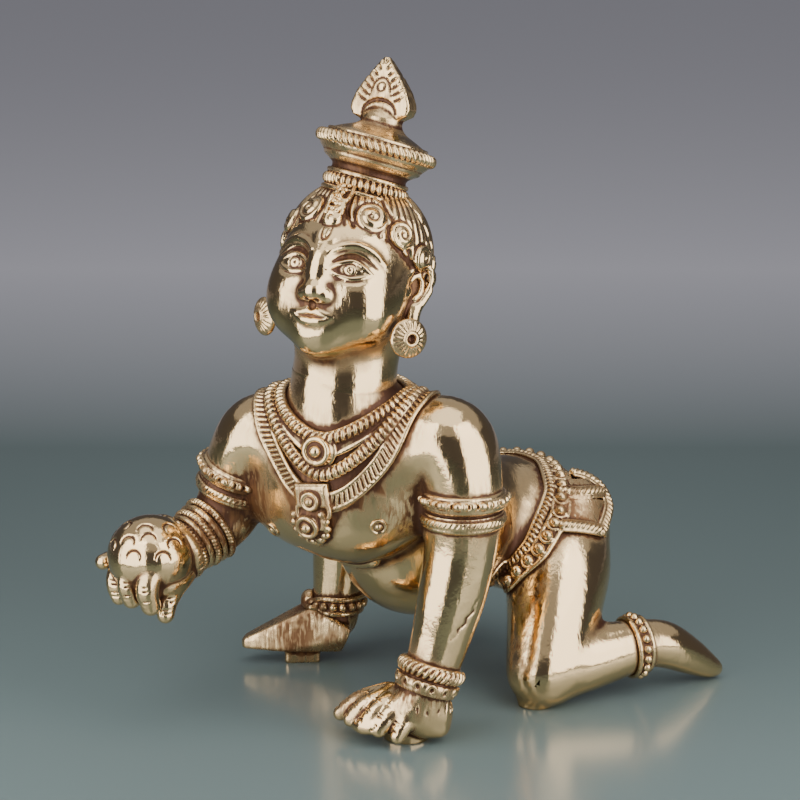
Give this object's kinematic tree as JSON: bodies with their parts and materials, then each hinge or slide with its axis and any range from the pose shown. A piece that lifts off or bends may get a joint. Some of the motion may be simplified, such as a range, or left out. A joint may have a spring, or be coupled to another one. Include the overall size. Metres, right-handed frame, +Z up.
{
  "type": "krishna idol",
  "caption": "Small solid brass idol of a crawling child deity holding out a ball of butter, with crown, necklaces and anklets.",
  "frame": {"origin": "on the floor plane, under the middle of the outline", "axes": "+Z up; the figure faces -Y and its left side is +X"},
  "size_m": [0.0561, 0.0732, 0.0878],
  "materials": {
    "polished_brass": "polished pale brass with brown patina in the chased hollows"
  },
  "bodies": {
    "root": {"krishna_figure": "polished_brass"}
  },
  "joints": []
}
